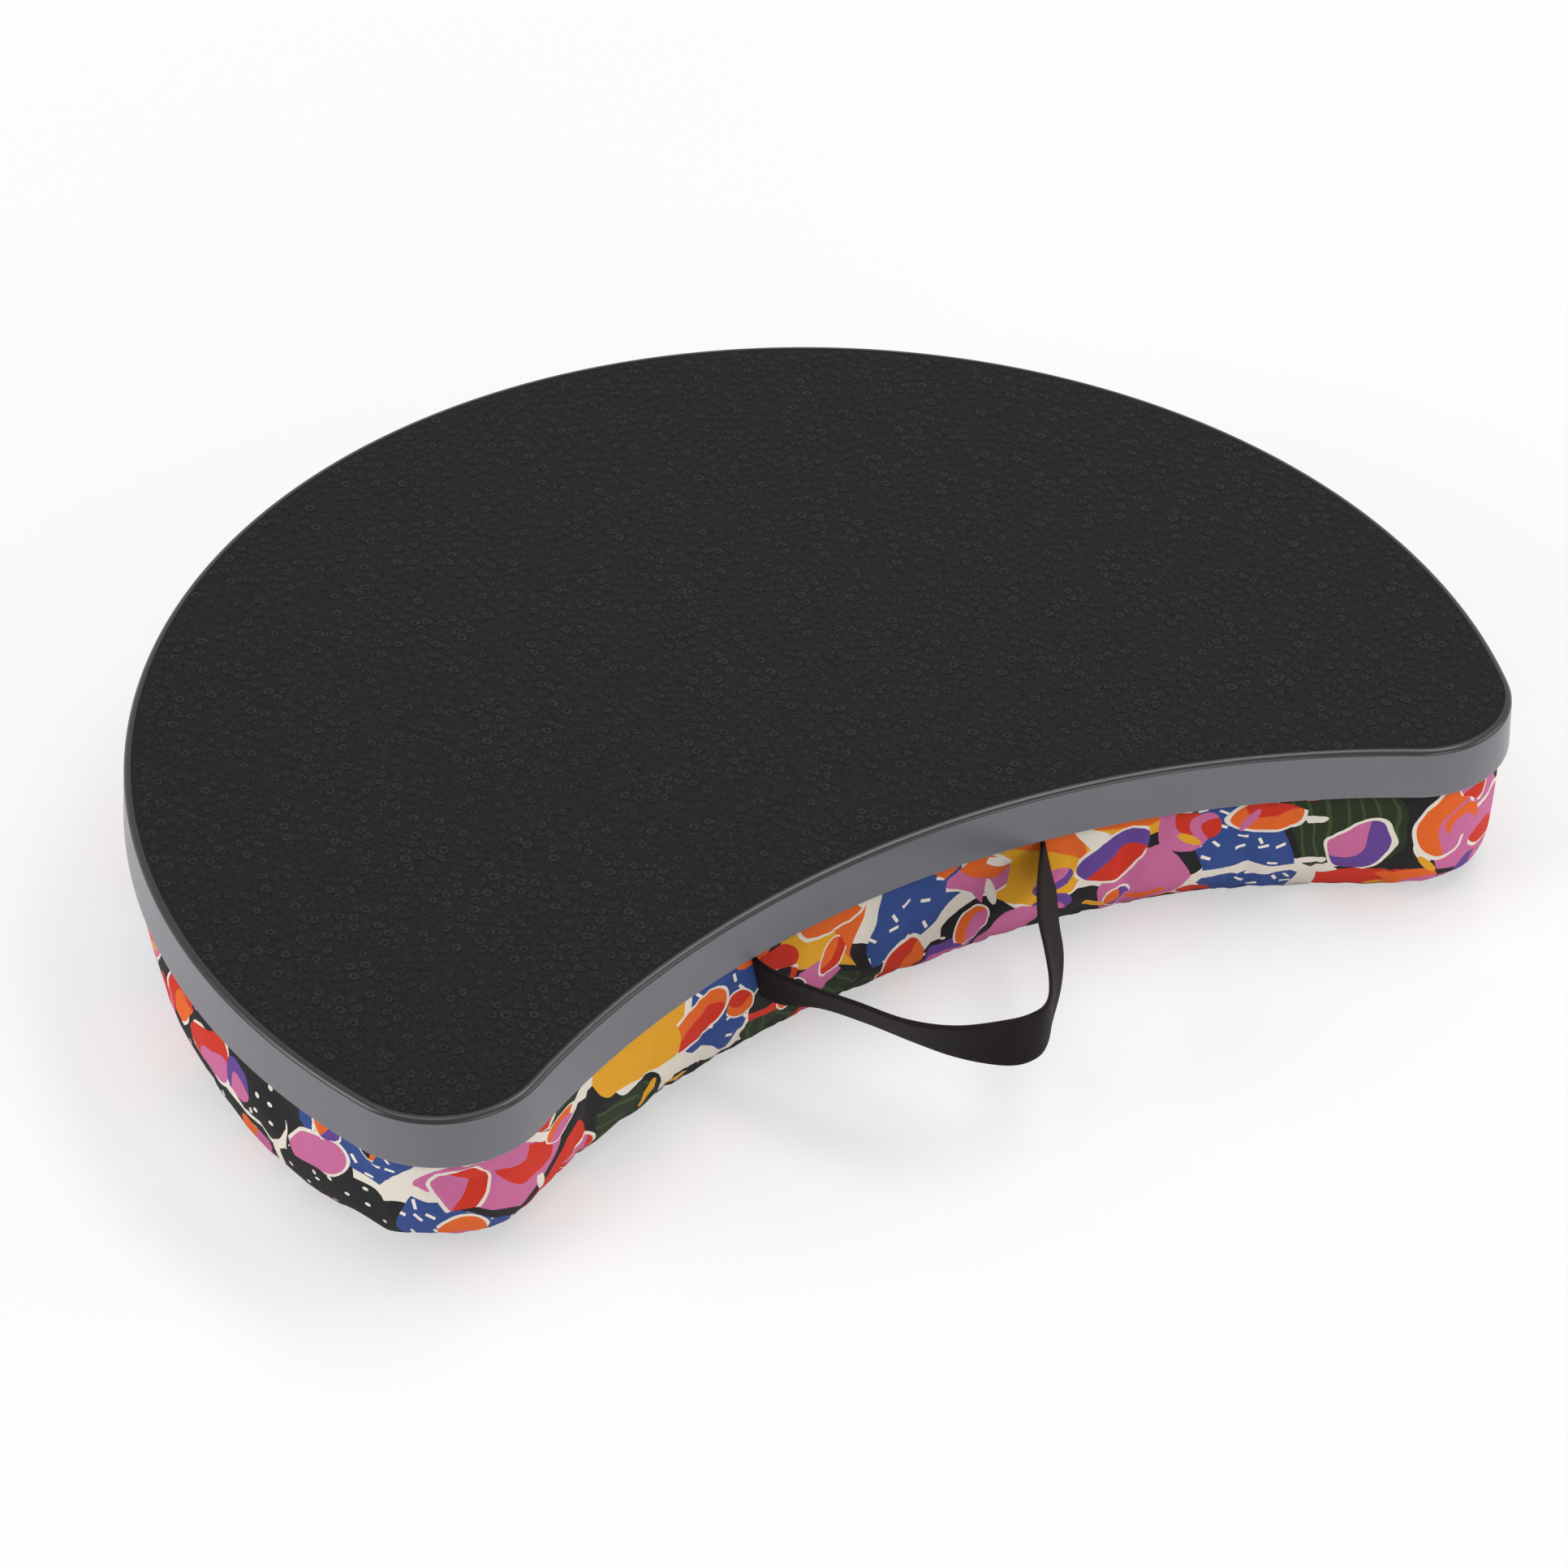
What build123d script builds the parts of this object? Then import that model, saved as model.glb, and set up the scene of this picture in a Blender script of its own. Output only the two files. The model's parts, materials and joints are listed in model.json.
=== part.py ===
"""Lap tray with cushion: a kidney-shaped moulded tray on a bead-filled cushion, with a webbing carry loop.

The origin lies on the surface that the cushion stands on, on the axis of the tray's round back. +X runs along
the tray's width, +Y points to the round back and +Z points up. All sizes are in millimetres.
"""

import os
from math import asin, atan2, cos, degrees, pi, sin, sqrt

from build123d import *

os.makedirs("parts", exist_ok=True)

# Tray outline: a round back, two round front corners and a hollow front, all tangent to each other
back_radius = 255.0
corner_radius = 40.0
hollow_radius = 362.0
centre_depth = 321.0

# Tray deck
cushion_height = 54.0
skirt_height = 20.0
skirt_wall = 2.6
deck_plate = 2.8
draft_inset = 1.35
rim_radius = 2.0
rim_land = 0.3
skirt_edge_radius = 0.8

# Pebble-grained sheet in the deck's recess
sheet_thickness = 1.2
sheet_clearance = 0.1

# Ribs and screw bosses under the deck
rib_thickness = 2.0
rib_pitch = 62.0
rib_clearance = 0.3
boss_radius = 4.5
pilot_end = 2.2

# Hardboard panel inside the skirt
panel_thickness = 3.2
panel_recess = 0.5
panel_clearance = 0.2

# Countersunk panel screws
screw_radius = 1.5
screw_head_radius = 3.4
screw_length = 12.0
screw_tip = 1.8
screw_clearance = 0.05
screw_inset = 45.0
drive_width = 0.9
drive_depth = 1.0
drive_reach = 1.9
back_screws = 4
back_screw_angle = 120.0
front_screw_angle = 20.0

# Cushion form: drawn in under the skirt, fullest lower down, rounded to its flat-cut bottom
top_tuck = 4.0
side_inset = 2.8
bottom_round = 20.0
bottom_round_height = 32.0
flat_cut = 0.5
tuck_share = 0.25
round_steps = 4

# Cushion cover
fabric_thickness = 1.0
seam_height = 4.0
hem_width = 20.0

# Hem staples
staple_crown = 10.0
staple_wire = 0.6
staple_leg = 3.6
staple_inset = 15.0
staple_pitch = 30.0

# Inner bag and its beads
bag_thickness = 0.6
bag_clearance = 0.2
bead_clearance = 0.1

# Webbing carry loop: its plan is given as shares of its span along the front and its reach in front of it
strap_width = 20.0
strap_thickness = 1.5
strap_drop = 2.5
strap_span = 124.0
strap_offset = -12.0
strap_reach = 76.0
strap_tab = 18.0
strap_fold = 2.0
slit_clearance = 0.2
root_stub = 2.0
swing_gap = 0.3
left_bend_share = (0.245, 0.76)
apex_share = (0.625, 1.0)
right_bend_share = (0.785, 0.44)
left_bend_radius = 30.0
apex_radius = 8.0
right_bend_radius = 70.0

# One overrun for every cut that has to pass a face
overrun = 5.0

# Heights
panel_bottom = cushion_height + panel_recess
panel_top = panel_bottom + panel_thickness
hem_top = panel_top + fabric_thickness
deck_top = cushion_height + skirt_height
sheet_bottom = deck_top - sheet_thickness
plate_bottom = sheet_bottom - deck_plate
rib_bottom = hem_top + staple_wire + rib_clearance
bag_top = panel_bottom - bag_thickness
strap_top = cushion_height - strap_drop
swing_height = strap_top - strap_width / 2

# Depths under the outline or under the fabric's outer face
recess_inset = draft_inset + rim_radius + rim_land
bag_depth = fabric_thickness + bag_clearance

# Centres of the outline's arcs
front_middle = back_radius - centre_depth
hollow_centre = front_middle - hollow_radius
corner_reach = back_radius - corner_radius
corner_y = ((hollow_radius + corner_radius) ** 2 - corner_reach**2 - hollow_centre**2) / (-2 * hollow_centre)
corner_x = sqrt(corner_reach**2 - corner_y**2)
corner_angle = atan2(corner_y, corner_x)
hollow_angle = atan2(corner_y - hollow_centre, corner_x)


def on_circle(x, y, radius, angle):
    """A point on a circle about (x, y), with its angle in radians."""
    return x + radius * cos(angle), y + radius * sin(angle)


def outline_face(inset):
    """The tray's outline, moved inwards by inset, as a flat face."""
    back = back_radius - inset
    corner = corner_radius - inset
    hollow = hollow_radius + inset
    back_end = on_circle(0, 0, back, corner_angle)
    front_end = on_circle(0, hollow_centre, hollow, hollow_angle)
    corner_middle = on_circle(corner_x, corner_y, corner, (corner_angle + hollow_angle - pi) / 2)
    back_middle = on_circle(0, 0, back, (corner_angle + pi / 2) / 2)
    with BuildSketch() as sketch:
        with BuildLine():
            ThreePointArc(back_end, back_middle, (0, back))
            ThreePointArc(back_end, corner_middle, front_end)
            mirror(about=Plane.YZ)
            ThreePointArc(front_end, (0, hollow_centre + hollow), (-front_end[0], front_end[1]))
        make_face()
    return sketch.sketch


def slab(inset, bottom, top):
    """A flat layer of the tray's outline, moved inwards by inset."""
    with BuildPart() as layer:
        with BuildSketch(Plane.XY.offset(bottom)):
            add(outline_face(inset))
        extrude(amount=top - bottom)
    return layer.part


def drafted_block(inset, bottom, top):
    """The outline between two heights, with the skirt's draft."""
    with BuildPart() as block:
        for height in (bottom, top):
            with BuildSketch(Plane.XY.offset(height)):
                add(outline_face(inset + draft_inset * (height - cushion_height) / skirt_height))
        loft(ruled=True)
    return block.part


def cushion_profile(depth):
    """Heights and insets of the cushion's side, at a depth under the fabric's outer face."""
    fullest = bottom_round_height
    tuck_height = (panel_bottom + fullest) / 2
    yield panel_bottom, top_tuck + depth
    yield tuck_height, side_inset + (top_tuck - side_inset) * tuck_share + depth
    for step in range(round_steps + 1):
        turn = pi / 2 * step / round_steps
        inset = side_inset + bottom_round - (bottom_round - depth) * cos(turn)
        yield fullest - (fullest + flat_cut - depth) * sin(turn), inset


def cushion_form(depth):
    """The cushion's crowned form at a depth under its outer face, cut flat where it rests."""
    with BuildPart() as form:
        for height, inset in cushion_profile(depth):
            with BuildSketch(Plane.XY.offset(height)):
                add(outline_face(inset))
        loft()
        split(bisect_by=Plane.XY.offset(depth), keep=Keep.TOP)
    return form.part


def face_y(x, inset):
    """Where the hollow front's face, moved inwards by inset, stands at a place along the width."""
    return hollow_centre + sqrt((hollow_radius + inset) ** 2 - x**2)


# Places along the webbing
left_root_x = strap_offset - strap_span / 2
right_root_x = strap_offset + strap_span / 2
tab_inset = top_tuck + fabric_thickness + slit_clearance + strap_thickness / 2
stub_end = face_y(left_root_x, 0) - root_stub
loop_start = stub_end - swing_gap
swing_y = loop_start - strap_width / 2


def strap_point(share):
    """A plan point of the webbing from its shares of the span and of the reach."""
    return left_root_x + share[0] * strap_span, front_middle - share[1] * strap_reach


def strap_band(clearance):
    """The whole webbing on edge, from one sewn tab round the loop to the other, with a clearance round it."""
    corners = []
    for root_x, outward in ((left_root_x, -1), (right_root_x, 1)):
        root = Vector(root_x, face_y(root_x, tab_inset))
        slope = asin(abs(root_x) / (hollow_radius + tab_inset))
        corners.append((root + Vector(outward * cos(slope), -sin(slope)) * strap_tab, root))
    (left_tab, left_root), (right_tab, right_root) = corners
    bends = [strap_point(share) for share in (left_bend_share, apex_share, right_bend_share)]
    radii = [strap_fold, left_bend_radius, apex_radius, right_bend_radius, strap_fold]
    with BuildPart() as band:
        with BuildSketch(Plane.XY.offset(strap_top - strap_width - clearance)):
            with BuildLine():
                FilletPolyline(left_tab, left_root, *bends, right_root, right_tab, radius=radii)
            trace(line_width=strap_thickness + 2 * clearance)
        extrude(amount=strap_width + 2 * clearance)
    return band.part


def inner_form(depth):
    """The cushion's inside at a depth, with an open pocket behind each sewn tab of the webbing."""
    clearance = slit_clearance + depth - bag_depth
    pocket_depth = strap_thickness / 2 + clearance
    with BuildPart() as form:
        add(cushion_form(depth))
        with BuildSketch(Plane.XY.offset(strap_top - strap_width - clearance)):
            for root_x, outward in ((left_root_x, -1), (right_root_x, 1)):
                slope = -outward * degrees(asin(abs(root_x) / (hollow_radius + tab_inset)))
                middle = outward * (strap_tab - strap_fold) / 2
                with Locations(Location((root_x, face_y(root_x, tab_inset)), slope)):
                    with Locations((middle, (pocket_depth - tab_inset - overrun) / 2)):
                        Rectangle(strap_tab + strap_fold + 2 * pocket_depth, pocket_depth + tab_inset + overrun)
        extrude(amount=strap_width + 2 * clearance, mode=Mode.SUBTRACT)
    return form.part


def screw_places():
    """The panel screws: along the round back, in the front corners and behind the hollow front."""
    places = []
    for screw in range(back_screws):
        turn = pi / 2 + (screw / (back_screws - 1) - 1 / 2) * back_screw_angle * pi / 180
        places.append(on_circle(0, 0, back_radius - screw_inset, turn))
    for side in (-1, 1):
        places.append((side * corner_x, corner_y))
        turn = (pi + side * front_screw_angle * pi / 180) / 2
        places.append(on_circle(0, hollow_centre, hollow_radius + screw_inset, turn))
    return places


def staple_places():
    """A location for each hem staple, with its crown along the outline."""
    back = back_radius - staple_inset
    corner = corner_radius - staple_inset
    hollow = hollow_radius + staple_inset
    arcs = (
        (0, 0, back, corner_angle, pi - corner_angle),
        (corner_x, corner_y, corner, hollow_angle - pi, corner_angle),
        (0, hollow_centre, hollow, hollow_angle, pi - hollow_angle),
        (-corner_x, corner_y, corner, pi - corner_angle, 2 * pi - hollow_angle),
    )
    places = []
    for x, y, radius, start, end in arcs:
        count = max(1, round(radius * (end - start) / staple_pitch))
        for step in range(count):
            turn = start + (end - start) * (step + 1 / 2) / count
            places.append(Location((*on_circle(x, y, radius, turn), hem_top), (0, 0, degrees(turn) + 90)))
    return places


with BuildPart() as deck_shell:
    add(drafted_block(0, cushion_height, deck_top))
    fillet(deck_shell.edges().group_by(Axis.Z)[-1], radius=rim_radius)
    fillet(deck_shell.edges().group_by(Axis.Z)[0], radius=skirt_edge_radius)
    add(drafted_block(skirt_wall, cushion_height, plate_bottom), mode=Mode.SUBTRACT)
    add(slab(recess_inset, sheet_bottom, deck_top + overrun), mode=Mode.SUBTRACT)
    with BuildSketch(Plane.XY.offset(rib_bottom)):
        with Locations((0, back_radius - centre_depth / 2)):
            with GridLocations(rib_pitch, 0, 2 * int(back_radius / rib_pitch) + 1, 1):
                Rectangle(rib_thickness, 2 * back_radius)
            with GridLocations(0, rib_pitch, 1, int(centre_depth / rib_pitch)):
                Rectangle(2 * back_radius, rib_thickness)
        add(outline_face(skirt_wall / 2 + draft_inset / 2), mode=Mode.INTERSECT)
    extrude(amount=plate_bottom - rib_bottom)
    with BuildSketch(Plane.XY.offset(panel_top)):
        with Locations(*screw_places()):
            Circle(boss_radius)
    extrude(amount=plate_bottom - panel_top)
    with BuildSketch(Plane.XY.offset(panel_top)):
        with Locations(*screw_places()):
            Circle(screw_radius + screw_clearance)
    extrude(amount=plate_bottom - panel_top - pilot_end, mode=Mode.SUBTRACT)
deck_shell.part.label = "deck_shell"
export_step(deck_shell.part, "parts/deck_shell.step")

with BuildPart() as grip_sheet:
    add(slab(recess_inset + sheet_clearance, sheet_bottom, deck_top))
grip_sheet.part.label = "grip_sheet"
export_step(grip_sheet.part, "parts/grip_sheet.step")

with BuildPart() as base_panel:
    add(slab(top_tuck + fabric_thickness + panel_clearance, panel_bottom, panel_top))
    with Locations(*[Location((x, y, panel_bottom), (180, 0, 0)) for x, y in screw_places()]):
        CounterSinkHole(screw_radius + screw_clearance, screw_head_radius + screw_clearance)
base_panel.part.label = "base_panel"
export_step(base_panel.part, "parts/base_panel.step")

with BuildPart() as one_screw:
    with BuildSketch(Plane.XZ):
        with BuildLine():
            Polyline(
                (0, 0),
                (screw_head_radius, 0),
                (screw_radius, screw_head_radius - screw_radius),
                (screw_radius, screw_length - screw_tip),
                (0, screw_length),
                close=True,
            )
        make_face()
    revolve(axis=Axis.Z)
    with BuildSketch():
        Rectangle(2 * drive_reach, drive_width)
        Rectangle(drive_width, 2 * drive_reach)
    extrude(amount=drive_depth, mode=Mode.SUBTRACT)

with BuildPart() as panel_screws:
    with Locations(*[(x, y, panel_bottom) for x, y in screw_places()]):
        add(one_screw.part)
panel_screws.part.label = "panel_screws"
export_step(panel_screws.part, "parts/panel_screws.step")

with BuildPart() as cover_boxing:
    add(cushion_form(0))
    add(cushion_form(fabric_thickness), mode=Mode.SUBTRACT)
    split(bisect_by=Plane.XY.offset(seam_height), keep=Keep.TOP)
    add(slab(top_tuck, panel_bottom, hem_top))
    add(slab(top_tuck + fabric_thickness, panel_bottom - overrun, panel_top), mode=Mode.SUBTRACT)
    add(slab(top_tuck + hem_width, panel_bottom, hem_top + overrun), mode=Mode.SUBTRACT)
    add(strap_band(slit_clearance), mode=Mode.SUBTRACT)
cover_boxing.part.label = "cover_boxing"
export_step(cover_boxing.part, "parts/cover_boxing.step")

with BuildPart() as cover_bottom:
    add(cushion_form(0))
    add(cushion_form(fabric_thickness), mode=Mode.SUBTRACT)
    split(bisect_by=Plane.XY.offset(seam_height), keep=Keep.BOTTOM)
cover_bottom.part.label = "cover_bottom"
export_step(cover_bottom.part, "parts/cover_bottom.step")

with BuildPart() as one_staple:
    Box(staple_crown, staple_wire, staple_wire, align=(Align.CENTER, Align.CENTER, Align.MIN))
    with GridLocations(staple_crown - staple_wire, 0, 2, 1):
        Box(staple_wire, staple_wire, staple_leg, align=(Align.CENTER, Align.CENTER, Align.MAX))

with BuildPart() as cover_staples:
    with Locations(*staple_places()):
        add(one_staple.part)
cover_staples.part.label = "cover_staples"
export_step(cover_staples.part, "parts/cover_staples.step")

with BuildPart() as bead_bag:
    add(inner_form(bag_depth))
    add(inner_form(bag_depth + bag_thickness), mode=Mode.SUBTRACT)
    split(bisect_by=Plane.XY.offset(bag_top), keep=Keep.BOTTOM)
bead_bag.part.label = "bead_bag"
export_step(bead_bag.part, "parts/bead_bag.step")

with BuildPart() as bead_bag_top:
    add(inner_form(bag_depth))
    split(bisect_by=Plane.XY.offset(bag_top), keep=Keep.TOP)
bead_bag_top.part.label = "bead_bag_top"
export_step(bead_bag_top.part, "parts/bead_bag_top.step")

with BuildPart() as bead_filling:
    add(inner_form(bag_depth + bag_thickness + bead_clearance))
    split(bisect_by=Plane.XY.offset(bag_top - bead_clearance), keep=Keep.BOTTOM)
bead_filling.part.label = "bead_filling"
export_step(bead_filling.part, "parts/bead_filling.step")

for name, split_side in (("strap_root_left", Keep.BOTTOM), ("strap_root_right", Keep.TOP)):
    with BuildPart() as strap_root:
        add(strap_band(0))
        split(bisect_by=Plane.XZ.offset(-stub_end), keep=Keep.BOTTOM)
        split(bisect_by=Plane.YZ.offset(strap_offset), keep=split_side)
    strap_root.part.label = name
    export_step(strap_root.part, f"parts/{name}.step")

with BuildPart() as carry_loop:
    add(strap_band(0))
    with BuildSketch(Plane.YZ):
        with Locations((swing_y, swing_height)):
            Circle(strap_width / 2)
            Rectangle(strap_reach + overrun, strap_width, align=(Align.MAX, Align.CENTER))
    extrude(amount=strap_span, both=True, mode=Mode.INTERSECT)
carry_loop.part.label = "carry_loop"
export_step(carry_loop.part, "parts/carry_loop.step")

print("corner centres", round(corner_x, 2), round(corner_y, 2))
print("swing axis", round(swing_y, 2), round(swing_height, 2))
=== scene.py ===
"""Lap tray with cushion: the finish of every piece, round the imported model's frame.

Lengths are in metres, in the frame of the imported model: the origin lies on the surface that the cushion stands
on, on the axis of the tray's round back, with +X along the width, +Y to the round back and +Z up.
"""

import json
from math import atan2, cos, pi, radians, sin, sqrt

import bmesh
import bpy
import numpy as np
from bpy.props import FloatProperty, FloatVectorProperty, IntProperty, PointerProperty
from mathutils import Matrix, Vector


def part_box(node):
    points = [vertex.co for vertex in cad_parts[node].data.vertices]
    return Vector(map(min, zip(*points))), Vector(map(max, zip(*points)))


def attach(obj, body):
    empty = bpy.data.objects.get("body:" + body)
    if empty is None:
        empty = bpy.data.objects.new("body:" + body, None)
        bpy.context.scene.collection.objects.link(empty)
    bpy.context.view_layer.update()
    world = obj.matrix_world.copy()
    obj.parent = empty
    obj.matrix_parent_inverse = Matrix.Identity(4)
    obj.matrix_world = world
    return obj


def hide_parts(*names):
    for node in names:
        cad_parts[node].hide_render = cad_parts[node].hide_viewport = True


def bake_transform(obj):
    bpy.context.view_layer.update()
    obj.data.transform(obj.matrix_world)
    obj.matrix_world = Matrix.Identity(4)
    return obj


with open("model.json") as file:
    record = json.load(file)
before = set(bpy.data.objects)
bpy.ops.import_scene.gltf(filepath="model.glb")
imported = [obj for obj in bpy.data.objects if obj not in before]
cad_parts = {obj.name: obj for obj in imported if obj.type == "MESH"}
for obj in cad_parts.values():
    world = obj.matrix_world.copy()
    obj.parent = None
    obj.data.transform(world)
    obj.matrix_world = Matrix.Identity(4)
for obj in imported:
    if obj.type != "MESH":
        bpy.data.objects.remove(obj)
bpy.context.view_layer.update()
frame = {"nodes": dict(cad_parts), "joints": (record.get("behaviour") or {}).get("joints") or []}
deck_low, deck_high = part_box("deck_shell")
sheet_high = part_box("grip_sheet")[1]
panel_low, panel_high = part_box("base_panel")
loop_low, loop_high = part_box("carry_loop")

bl_info = {
    "name": "Lap Tray with Cushion",
    "version": (1, 0, 0),
    "blender": (4, 5, 0),
    "location": "View3D > Sidebar > Lap Tray",
    "description": "Dresses a lap tray, its cushion and its carry loop",
    "category": "Object",
}

MM = 0.001


def length(name, default, description):
    """A size in metres that a user may change."""
    return FloatProperty(name=name, default=default, description=description, unit="LENGTH", precision=4)


def colour(name, default, description):
    """A linear colour that a user may change."""
    return FloatVectorProperty(name=name, default=default, description=description, subtype="COLOR", size=3)


class LapTrayOutline(bpy.types.PropertyGroup):
    """The tray's plan: a round back, two round corners and a hollow front."""

    back_radius: length("Back radius", 0.255, "Radius of the round back")
    corner_radius: length("Corner radius", 0.040, "Radius of the two front corners")
    hollow_radius: length("Hollow radius", 0.362, "Radius of the hollow front")
    centre_depth: length("Centre depth", 0.321, "Depth of the tray at its middle")


class LapTrayDeck(bpy.types.PropertyGroup):
    """The moulded deck and the sheet in its top."""

    plastic: colour("Plastic", (0.152, 0.151, 0.170), "Colour of the moulded skirt")
    draft: length("Draft", 0.00135, "How far the skirt leans in up to the rim")
    rim_radius: length("Rim radius", 0.0020, "Radius of the rim's outer edge")
    lower_radius: length("Lower radius", 0.0008, "Radius of the skirt's lower edge")
    skin: length("Skin", 0.00014, "How far the finely divided face stands proud of the coarse one")
    rim: colour("Rim", (0.0070, 0.0070, 0.0078), "Colour of the rounded rim")
    rim_depth: length("Rim depth", 0.0014, "How far the rim's colour reaches down")
    # the dark line between rim and skirt is painted shade in the groove between them
    parting: length("Parting line", 0.0002, "Width of the dark line between rim and skirt")
    sheet: colour("Sheet", (0.0122, 0.0122, 0.0132), "Colour of the pebbled sheet")
    pebble_gap: length("Pebble spacing", 0.0041, "Least distance between two pebbles of the grain")
    pebble_width: length("Pebble width", 0.0044, "Width of a pebble")
    pebble_rise: length("Pebble rise", 0.00034, "Height of a pebble's crest over the sheet")
    pebble_seed: IntProperty(name="Pebble seed", default=4, description="Seed of the grain's layout")


class LapTrayCushion(bpy.types.PropertyGroup):
    """The bead-filled cushion and the fabric of its cover."""

    tuck: length("Tuck", 0.0041, "How far the cover stands in under the skirt")
    flat_inset: length("Flat inset", 0.036, "Where the flat bottom begins")
    fabric: length("Fabric", 0.001, "Thickness of the cover's fabric")
    seam_height: length("Seam height", 0.004, "Height of the seam between side band and bottom")
    hem_width: length("Hem width", 0.020, "Width of the hem on the panel")
    slack: length("Slack", 0.0022, "How far the empty side hangs in before the beads press it out")
    swell: length("Swell", 0.0045, "How far the beads may push the fabric out")
    pucker: length("Pucker", 0.0009, "Depth of the gathers along the hem and the seam")
    motif: length("Motif size", 0.043, "Size of the largest motif of the print")
    ink: colour("Ink", (0.006, 0.005, 0.006), "Darkest colour of the print")
    leaf: colour("Leaf", (0.016, 0.028, 0.008), "Dark green of the print")
    pink: colour("Pink", (0.62, 0.150, 0.34), "Pink of the print")
    red: colour("Red", (0.66, 0.028, 0.008), "Red of the print")
    orange: colour("Orange", (0.83, 0.135, 0.012), "Orange of the print")
    yellow: colour("Yellow", (0.83, 0.39, 0.014), "Yellow of the print")
    blue: colour("Blue", (0.028, 0.072, 0.27), "Blue of the print")
    violet: colour("Violet", (0.13, 0.055, 0.30), "Violet of the print")
    cream: colour("Cream", (0.87, 0.80, 0.70), "Cream of the print")
    bottom: colour("Bottom", (0.014, 0.014, 0.016), "Colour of the bottom panel")


class LapTrayStrap(bpy.types.PropertyGroup):
    """The webbing of the carry loop."""

    width: length("Width", loop_high.z - loop_low.z, "Width of the webbing")
    thickness: length("Thickness", 0.0015, "Thickness of the webbing")
    webbing: colour("Webbing", (0.0085, 0.0065, 0.0060), "Colour of the webbing")


class LapTrayStage(bpy.types.PropertyGroup):
    """The camera, lights and floor."""

    azimuth: FloatProperty(name="Azimuth", default=radians(-31.72), subtype="ANGLE", description="Camera azimuth")
    elevation: FloatProperty(name="Elevation", default=radians(38.79), subtype="ANGLE", description="Camera height")
    roll: FloatProperty(name="Roll", default=radians(1.73), subtype="ANGLE", description="Camera roll")
    distance: length("Distance", 1.7725, "Distance of the camera from the aim's plane")
    lens: FloatProperty(name="Lens", default=106.57, description="Focal length in millimetres")
    floor: colour("Floor", (0.93, 0.93, 0.93), "Colour of the floor")


class Wire:
    """One socket of a material: sums, products and comparisons of wires add their Math nodes."""

    def __init__(self, tree, socket):
        self.tree = tree
        self.socket = socket

    def math(self, operation, *values):
        return shader_node(self.tree, "ShaderNodeMath", {"operation": operation}, *values)

    def __add__(self, other):
        return self.math("ADD", self, other)

    def __radd__(self, other):
        return self.math("ADD", other, self)

    def __sub__(self, other):
        return self.math("SUBTRACT", self, other)

    def __rsub__(self, other):
        return self.math("SUBTRACT", other, self)

    def __mul__(self, other):
        return self.math("MULTIPLY", self, other)

    def __rmul__(self, other):
        return self.math("MULTIPLY", other, self)

    def __truediv__(self, other):
        return self.math("DIVIDE", self, other)

    def __pow__(self, other):
        return self.math("POWER", self, other)

    def __lt__(self, other):
        return self.math("LESS_THAN", self, other)

    def __gt__(self, other):
        return self.math("GREATER_THAN", self, other)

    def __abs__(self):
        return self.math("ABSOLUTE", self)

    def sine(self):
        return self.math("SINE", self)

    def cosine(self):
        return self.math("COSINE", self)

    def fraction(self):
        return self.math("FRACT", self)

    def limited(self):
        return self.math("MINIMUM", self.math("MAXIMUM", self, 0.0), 1.0)


def shader_node(tree, kind, settings, *values, output=0, **named):
    """A node with its settings made first, then its inputs, by place or by name."""
    node = tree.nodes.new(kind)
    for key, value in settings.items():
        setattr(node, key, value)
    for key, value in list(enumerate(values)) + [(k.replace("_", " "), v) for k, v in named.items()]:
        if value is None:
            continue
        if isinstance(value, Wire):
            tree.links.new(value.socket, node.inputs[key])
        else:
            node.inputs[key].default_value = value
    return Wire(tree, node.outputs[output])


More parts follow.
